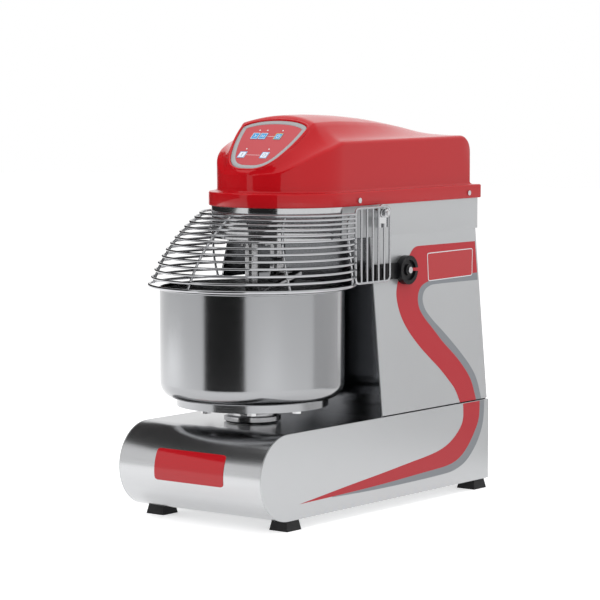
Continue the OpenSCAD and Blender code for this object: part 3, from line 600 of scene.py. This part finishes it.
# %% Points of the top
rows_y = np.concatenate([FRONT_Y - HALF * np.cos(np.radians(np.linspace(3, 90, 64))),
                         np.linspace(FRONT_Y + 4, REAR - CORNER, 60),
                         REAR - CORNER + CORNER * np.sin(np.radians(np.linspace(11, 90, 8)))])
flank = 1 + np.sin(np.linspace(0, math.pi / 2, 15))[1:]
steps = np.concatenate([-flank[::-1], np.linspace(-1, 1, 41), flank])
RECESS = (LIP + 1.4) / math.cos(PANEL_TILT) * 0.9
grid = []
for y in rows_y:
    width, half = float(pod_width(y)), wall_half(y)
    width = min(width, 0.8 * half)
    for t in steps:
        x = width * t if abs(t) <= 1 else math.copysign(width + (abs(t) - 1) * (half - width), t)
        z = cover_z(x, y)
        slope = (y - PANEL_START[0]) / math.cos(PANEL_TILT)
        if y < 80 and inside_shield(x, slope, 1.6):
            z -= RECESS
        grid.append((x, y, z))
columns = len(steps)
print("points of the top:", len(grid))

# %% [markdown]
# ## The rim and the skirt
# The rim of the top is carried down the body and out over the skirt, one loop of points after another, and
# back up inside, so that the shell has a real lower edge.

# %% Rim, skirt and shell
SKIRT_R, SKIRT_Y, SKIRT_REAR = 115.4, 78.0, 445.5
cover_faces = sheet_faces(len(rows_y), columns)
front_row = list(range(columns))
right_side = [r * columns + columns - 1 for r in range(1, len(rows_y))]
rear_row = [(len(rows_y) - 1) * columns + c for c in range(columns - 2, -1, -1)]
left_side = [r * columns for r in range(len(rows_y) - 2, 0, -1)]
rim = front_row + right_side + rear_row + left_side


def skirt_place(x, y):
    """Where the skirt's outline lies outside a point of the body's outline."""
    if y < FRONT_Y:
        turn = math.atan2(x, FRONT_Y - y)
        return SKIRT_R * math.sin(turn), SKIRT_Y - SKIRT_R * math.cos(turn)
    return x * SKIRT_R / HALF, SKIRT_Y + (y - FRONT_Y) * (SKIRT_REAR - SKIRT_Y) / (REAR - FRONT_Y)


profile = [(0.0, 484), (0.0, 479), (0.06, 477), (0.2, 475.6), (0.45, 475), (0.8, 475), (0.93, 474.6),
           (0.99, 473.8), (1.0, 472.6), (1.0, 455), (0.97, 453.8), (0.9, 453.5), (0.7, 453.5),
           (0.64, 454), (0.62, 470)]
points = list(grid)
loops = [rim]
for share, z in profile:
    start = len(points)
    for index in rim:
        x, y, _ = grid[index]
        sx, sy = skirt_place(x, y)
        points.append((x + (sx - x) * share, y + (sy - y) * share, z))
    loops.append(list(range(start, start + len(rim))))
for upper, lower in zip(loops, loops[1:]):
    n = len(rim)
    cover_faces += [(upper[i], upper[(i + 1) % n], lower[(i + 1) % n], lower[i]) for i in range(n)]
cover = piece("cover_shell", points, cover_faces, "red_cover", "machine")
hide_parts("head_cover")
print("cover points:", len(points))

# %% [markdown]
# ## Lip and bezel
# The lip is a soft bead that runs round the panel and catches a thin line of light. The bezel is a flat
# grey ring with eased edges. Both are one small section carried round the shield.

# %% Lip and bezel
def ring_piece(name, section, finish):
    """A closed ring round the panel; the section lists (how far out of the outline, height)."""
    n = len(shield)
    rings = [on_panel(grown(shield, out), height) for out, height in section]
    faces = sheet_faces(len(section), n, True)
    last = (len(section) - 1) * n
    faces += [(last + c, last + (c + 1) % n, (c + 1) % n, c) for c in range(n)]
    return piece(name, np.concatenate(rings), faces, finish, "machine")


bead = [(-0.2, -1.4), (-0.1, 0.7), (0.3, 1.5), (1.0, 2.15), (2.0, 2.4), (3.0, 2.25), (3.9, 1.6), (4.5, 0.5),
        (4.8, -1.4)]
ring_piece("panel_lip", bead, "red_cover")
flat_ring = [(-0.4, -1.0), (-0.4, 0.5), (-0.9, 0.8), (-7.4, 0.8), (-8.0, 0.35), (-8.0, -1.0)]
bezel = ring_piece("bezel_ring", flat_ring, "bezel_grey")
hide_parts("panel_bezel")
print("lip and bezel made")

# %% [markdown]
# ## The film
# The film is a thin printed sheet with a window for each key. Filling between outlines gives any flat plate
# with holes, and the same helper later cuts the marks and the stripes.

# %% The printed film with its windows
KEYS = {"key_low_speed": (-26, 73), "key_high_speed": (-11, 73), "key_timer": (18, 73),
        "key_start": (-26, 30.7), "key_stop": (17, 30.7)}


def box_outline(centre, half_x, half_s, radius=1.2, steps=4):
    """A small rounded rectangle."""
    line = []
    for i, j, start in [(1, 1, 0), (-1, 1, 90), (-1, -1, 180), (1, -1, 270)]:
        for k in range(steps + 1):
            turn = math.radians(start + k * 90 / steps)
            line.append((centre[0] + i * (half_x - radius) + radius * math.cos(turn),
                         centre[1] + j * (half_s - radius) + radius * math.sin(turn)))
    return np.array(line)


def flat_piece(name, outlines, put, low, high, finish, body):
    """A thin plate with an outline and any holes; `put` turns plan places and a height into points."""
    work = bmesh.new()
    edges = []
    for outline in outlines:
        verts = [work.verts.new((*p, 0)) for p in outline]
        edges += [work.edges.new((a, b)) for a, b in zip(verts, verts[1:] + verts[:1])]
    bmesh.ops.triangle_fill(work, use_beauty=True, edges=edges)
    work.verts.index_update()
    plan = np.array([v.co[:2] for v in work.verts])
    top = [tuple(v.index for v in f.verts) for f in work.faces]
    rims = [(e.verts[0].index, e.verts[1].index) for e in work.edges if len(e.link_faces) == 1]
    work.free()
    n = len(plan)
    faces = top + [tuple(i + n for i in reversed(f)) for f in top] + [(a, b, b + n, a + n) for a, b in rims]
    return piece(name, np.concatenate([put(plan, high), put(plan, low)]), faces, finish, body, False)


windows = [box_outline(spot, 6.85, 7.1) for spot in KEYS.values()]
panel_film = flat_piece("panel_film", [grown(shield, -8.05)[::2]] + windows, on_panel, -1.0, 0.4,
                        "membrane_red", "machine")
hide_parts("panel_membrane")
print("film with", len(windows), "windows")

# %% [markdown]
# ## Marks on the keys
# Each key is a printed cap that moves, so its marks ride with it. They are generic signs: one arrow and two
# arrows for the speeds, a clock face for the timer, a bar and a ring for start and stop.

# %% Key marks
def mark(name, outlines, key, finish):
    """A printed mark on a key; it rides with the key's cap."""
    return flat_piece(name, outlines, on_panel, 0.96, 1.16, finish, key + "_cap")


def frame_of(spot, half, width):
    """A square ring."""
    return [box_outline(spot, half[0], half[1]), box_outline(spot, half[0] - width, half[1] - width, 0.8)]


def ring_of(spot, radius, width, steps=28):
    """A round ring."""
    turn = np.linspace(0, 2 * math.pi, steps, endpoint=False)
    circle = np.stack([np.cos(turn), np.sin(turn)], 1)
    return [np.array(spot) + circle * radius, np.array(spot) + circle * (radius - width)]


def arrow(spot, size):
    """An arrow head that points right."""
    return np.array([(spot[0] - size, spot[1] + size * 1.3), (spot[0] - size * 0.4, spot[1] + size * 1.3),
                     (spot[0] + size, spot[1]), (spot[0] - size * 0.4, spot[1] - size * 1.3),
                     (spot[0] - size, spot[1] - size * 1.3), (spot[0] + size * 0.4, spot[1])])


for key, spot in KEYS.items():
    edge = {"key_timer": "ink_yellow", "key_start": "key_blue", "key_stop": "key_blue"}.get(key, "ink_pale")
    mark("edge_" + key, frame_of(spot, (6.4, 6.6), 0.7), key, edge)
mark("sign_low", [arrow(KEYS["key_low_speed"], 2.2)], "key_low_speed", "ink_pale")
for shift in (-2, 1.6):
    mark("sign_high_" + ("a" if shift < 0 else "b"), [arrow((KEYS["key_high_speed"][0] + shift, 73), 1.9)],
         "key_high_speed", "ink_pale")
mark("sign_timer_face", ring_of(KEYS["key_timer"], 3.6, 0.8), "key_timer", "ink_pale")
mark("sign_timer_hand", [box_outline((18.7, 73.5), 1.3, 0.4, 0.3)], "key_timer", "ink_pale")
mark("sign_start", [box_outline(KEYS["key_start"], 0.7, 3.4, 0.4)], "key_start", "ink_grey")
mark("sign_stop", ring_of(KEYS["key_stop"], 3.3, 0.9), "key_stop", "ink_grey")
print("key marks made")

# %% [markdown]
# ## Lines and indicator lamps
# Two thin lines join neighbouring keys, and a small lamp sits above each key. The lamps are low domes that
# stand a little out of the film, so each is a few rings of points that close in.

# %% Lines and lamps of the film
for name, (x0, x1, s) in {"line_upper": (-3.6, 10.6, 73), "line_lower": (-18.6, 9.6, 30.7)}.items():
    line = box_outline(((x0 + x1) / 2, s), (x1 - x0) / 2, 0.25, 0.2)
    flat_piece(name, [line], on_panel, 0.3, 0.5, "ink_pale", "machine")
LAMPS = [(-25, 86.3), (-10.3, 86.5), (19.2, 86.5), (-25.3, 44), (17.5, 44.4)]
dome = []
dome_faces = []
for spot in LAMPS:
    start = len(dome)
    for lift in np.linspace(0, 80, 6):
        ring = 1.35 * math.cos(math.radians(lift))
        turn = np.linspace(0, 2 * math.pi, 20, endpoint=False)
        dome += list(on_panel(np.array(spot) + ring * np.stack([np.cos(turn), np.sin(turn)], 1),
                              0.3 + 0.8 * math.sin(math.radians(lift))))
    dome_faces += [tuple(i + start for i in f) for f in sheet_faces(6, 20, True)]
    dome_faces.append(tuple(start + 100 + i for i in range(20)))
piece("indicator_lamps", dome, dome_faces, "lamp_white", "machine")
print("indicator lamps:", len(LAMPS))

# %% [markdown]
# ## Stripes on the sides
# A long printed ribbon comes down each side of the column, crosses the joint and sweeps forward along the
# base to a point, with a grey band like a shadow under it. Each is a flat outline on its sheet, so a few
# points and a smooth line through them are enough.

# %% Stripe outlines
NECK_X, FOOT_X, BASE_X, NECK_Z, BASE_TOP = 111.5, 136.0, 136.5, 404.5, 128.6


def wall_x(z):
    """Half width of the column at a height: it leans out towards the base."""
    return NECK_X + (NECK_Z - z) * (FOOT_X - NECK_X) / (NECK_Z - BASE_TOP)


def on_column(side):
    """Puts places of a column's side sheet (along, up) into space, on one side."""
    return lambda plan, out: np.array([(side * (wall_x(z) + out), y, z) for y, z in np.atleast_2d(plan)])


def on_base(side):
    """The same for the base's side sheet."""
    return lambda plan, out: np.array([(side * (BASE_X + out), y, z) for y, z in np.atleast_2d(plan)])


column_outer = [(380, 383.6), (330, 383.9), (295, 384.1), (276, 384.1), (266, 383), (256, 378),
                (236, 358.5), (216.9, 337.8), (207.5, 318), (208.0, 298.6), (217.0, 275.2), (233.9, 252.4),
                (258.7, 228.5), (284.4, 207.9), (308, 190), (329, 171.4), (347.2, 153), (359.2, 130.6)]
column_middle = [(390, 331.6), (350, 330.1), (315, 328.8), (295, 327.6), (274.5, 321), (264.0, 307.5),
                 (264.2, 289.9), (276.0, 272.9), (298.0, 253), (323.4, 229.9), (353.3, 206.5),
                 (375.7, 185.8), (393.8, 163.0), (404.8, 130.6)]
column_inner = [(390, 321.5), (350, 321.8), (320, 321.9), (300, 321), (283, 314.1), (275.8, 300.7),
                (281.4, 284.1), (299.4, 266.6), (321.8, 249.5), (345, 231), (371, 208.8), (396.3, 183.9),
                (411, 161.2), (419.6, 130.6)]
base_upper = [(367.0, 127.8), (367.2, 104.4), (358.0, 88.9), (335.6, 72.5), (307.0, 61.7), (270.6, 55.5),
              (218.9, 50.2), (141.5, 42.2), (60, 34.5), (-60.0, 22.2)]
base_middle = [(414.2, 127.8), (412.4, 102.0), (402.2, 82.5), (381.3, 58.5), (356.5, 41.8), (323.6, 33.6),
               (258.8, 30.3), (141.5, 25.7), (40, 23.6), (-60.0, 22.2)]
base_lower = [(427.2, 127.8), (426, 102), (419.0, 80), (402.5, 56.2), (377.2, 35.5), (348.4, 24.9),
              (315.4, 21.2), (219.1, 19.6), (120, 19.8), (20, 22.2)]


def band(first, second):
    """Outline between two smooth lines."""
    return [np.concatenate([flow(first, 8), flow(second, 8)[::-1]])]


print("stripe from column to nose,", len(column_outer) + len(base_upper), "points on its outer edge")

# %% [markdown]
# ## Stripes on both sides
# The same outlines are laid on the left and the right sheets. The red stands a hair prouder than the grey,
# so the two never share a face.

# %% Stripes on both sides
for side, word in ((1, "right"), (-1, "left")):
    column, base = on_column(side), on_base(side)
    bands = {"column_red": band([(432.4, 383.3)] + column_outer, [(432.4, 333)] + column_middle),
             "column_grey": band([(432.4, 333)] + column_middle, [(432.4, 321)] + column_inner),
             "base_red": band(base_upper, base_middle),
             "base_grey": band(base_middle[:-1] + [(20, 23.2)], base_lower)}
    for where, outline in bands.items():
        sheet = column if where.startswith("column") else base
        proud, ink = (0.12, "stripe_red") if where.endswith("red") else (0.10, "stripe_grey")
        flat_piece("stripe_" + where + "_" + word, outline, sheet, -0.3, proud, ink, "machine")
print("stripes on both sides")

# %% [markdown]
# ## Plates
# The base's nose carries a red enamelled plate bent round it, and a second plate sits in the stripe on the
# column, with a fine pale outline. Both are left plain.

# %% Nose plate and column plates
NOSE_Y, NOSE_Z, NOSE_R, PLATE_START = -87.0, 64.3, 64.3, math.radians(-11.5)


def on_nose(plan, out):
    """Puts places (across, along the bend) on the nose; the bend starts at the plate's lower edge."""
    turn = PLATE_START + plan[:, 1] / NOSE_R
    return np.stack([plan[:, 0], NOSE_Y - (NOSE_R + out) * np.cos(turn),
                     NOSE_Z + (NOSE_R + out) * np.sin(turn)], 1)


def bent_plate(name, half, length, corner, low, high, finish, rows=41):
    """A plate with rounded corners as a grid that follows the bend."""
    spots = np.linspace(0, length, rows)
    across = np.linspace(-1, 1, 25)
    front, back = [], []
    for s in spots:
        near = max(0.0, corner - min(s, length - s))
        reach = half - (corner - math.sqrt(max(0.0, corner ** 2 - near ** 2)))
        row = np.stack([across * reach, np.full(25, s)], 1)
        front.append(on_nose(row, high))
        back.append(on_nose(row, low))
    faces = sheet_faces(rows, 25)
    n = rows * 25
    edge = (list(range(25)) + [r * 25 + 24 for r in range(1, rows)] + [n - 2 - c for c in range(24)]
            + [r * 25 for r in range(rows - 2, 0, -1)])
    faces += [tuple(i + n for i in reversed(f)) for f in sheet_faces(rows, 25)]
    faces += [(a, b, b + n, a + n) for a, b in zip(edge, edge[1:] + edge[:1])]
    return piece(name, np.concatenate(front + back), faces, finish, "machine")


def round_corners(corners, radius, steps=6):
    """A polygon with each corner replaced by a short curve."""
    corners = [np.array(c, float) for c in corners]
    line = []
    for before, corner, after in zip([corners[-1]] + corners[:-1], corners, corners[1:] + corners[:1]):
        start = corner + (before - corner) / np.linalg.norm(before - corner) * radius
        end = corner + (after - corner) / np.linalg.norm(after - corner) * radius
        line += [start * (1 - t) ** 2 + corner * 2 * t * (1 - t) + end * t * t
                 for t in np.linspace(0, 1, steps)]
    return np.array(line)


nose_plate = soften(bent_plate("nose_plate", 66, 48.2, 5, -0.2, 0.75, "nameplate_red"), 0.25)
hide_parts("front_nameplate")
for side, word in ((1, "right"), (-1, "left")):
    rounded = round_corners([(294.0, 327.6), (417.2, 328.9), (424.1, 372.7), (296.2, 371.9)], 5)
    inner = grown(rounded, -1.3)
    flat_piece("plate_outline_" + word, [rounded, inner], on_column(side), 0.0, 0.45, "ink_pale", "machine")
    flat_piece("plate_face_" + word, [inner], on_column(side), 0.0, 0.40, "nameplate_red", "machine")
print("plates made")

# %% [markdown]
# ## Rods and wires
# The engineering model draws the spiral and the guard's ribs with few sides, enough for its checks. Here
# each is swept again along the same path with many more, and the spiral's hub gets eased edges.

# %% Spiral
SPIRAL_Y, TOP_Z, LOW_Z, COIL_R, ROD_R = 62.0, 352.0, 178.5, 41.0, 7.0
TURNS = 1.35
arm = [(k * COIL_R / 6.2, 0, TOP_Z) for k in range(6)]
coil = [(COIL_R * math.cos(-2 * math.pi * TURNS * s), COIL_R * math.sin(-2 * math.pi * TURNS * s),
         TOP_Z - (TOP_Z - LOW_Z) * s) for s in np.linspace(0, 1, 45)]
tail = []
for k in range(1, 7):
    turn = -2 * math.pi * TURNS - math.radians(40) * k / 6
    reach = COIL_R * (1 - 0.85 * k / 6)
    tail.append((reach * math.cos(turn), reach * math.sin(turn), LOW_Z))
path_points = flow(arm + coil + tail, 5)
rod_points, rod_faces = rod(path_points, ROD_R, 28)
hub = [(0.01, TOP_Z - 12), (10.5, TOP_Z - 12), (12, TOP_Z - 10.5), (12, TOP_Z + 20.5), (10.5, TOP_Z + 22),
       (8.2, TOP_Z + 22)]
turns = np.linspace(0, 2 * math.pi, 48, endpoint=False)
hub_points = [(r * math.cos(t), r * math.sin(t), z) for r, z in hub for t in turns]
hub_faces = [tuple(i + len(rod_points) for i in f) for f in sheet_faces(len(hub), 48, True)]
spiral_points = np.concatenate([rod_points, hub_points]) + np.array([0, SPIRAL_Y, 0])
spiral = piece("spiral", spiral_points, rod_faces + hub_faces, "machined_steel", "spiral_group")
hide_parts("spiral_hook")
print("spiral rings:", len(path_points))

# %% [markdown]
# ## The guard's ribs
# Seen from the side the guard's rings lie on an arc. From above each is a circle through the two sides and
# the arc's reach. A rib touches every ring from inside, so its path comes from the same two rules.

# %% Guard ribs
ARC_Y, ARC_Z, ARC_R, FIRST, STEP = 53.2, 235.0, 232.0, 26.0, 37.3 / 12
SIDE_X, SIDE_FRONT, WIRE = 126.0, 92.0, 2.0


def ring_shape(i):
    """Radius, centre and height of ring i, which may lie between two rings."""
    angle = math.radians(FIRST + i * STEP)
    reach = ARC_R * math.cos(angle) - ARC_Y
    centre = (SIDE_X ** 2 + SIDE_FRONT ** 2 - reach ** 2) / (2 * (reach + SIDE_FRONT))
    return reach + centre, centre, ARC_Z + ARC_R * math.sin(angle)


def rear_turn(i):
    """How far round from the front a ring reaches the rear ribs."""
    radius, centre, _ = ring_shape(i)
    return 90 + math.degrees(math.asin((80 - centre) / radius))


def rib_path(low_turn, top_turn, side):
    """Middle line of a rib, from the lowest ring to the highest."""
    line = []
    for share in np.linspace(0, 1, 49):
        radius, centre, z = ring_shape(12 * share)
        reach = radius - 2 * WIRE + 0.3
        turn = math.radians(low_turn + (top_turn - low_turn) * share)
        line.append((side * reach * math.sin(turn), centre - reach * math.cos(turn), z))
    return line


rib_points, rib_faces = [], []
for low_turn, top_turn, side in [(0, 0, 1), (60, 40, 1), (60, 40, -1), (rear_turn(0), rear_turn(12), 1),
                                 (rear_turn(0), rear_turn(12), -1)]:
    start = len(rib_points)
    made_points, made_faces = rod(rib_path(low_turn, top_turn, side), WIRE, 14)
    rib_points += list(made_points)
    rib_faces += [tuple(i + start for i in f) for f in made_faces]
ribs = piece("ribs", rib_points, rib_faces, "chrome_wire", "guard")
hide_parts("guard_ribs")
print("ribs made")
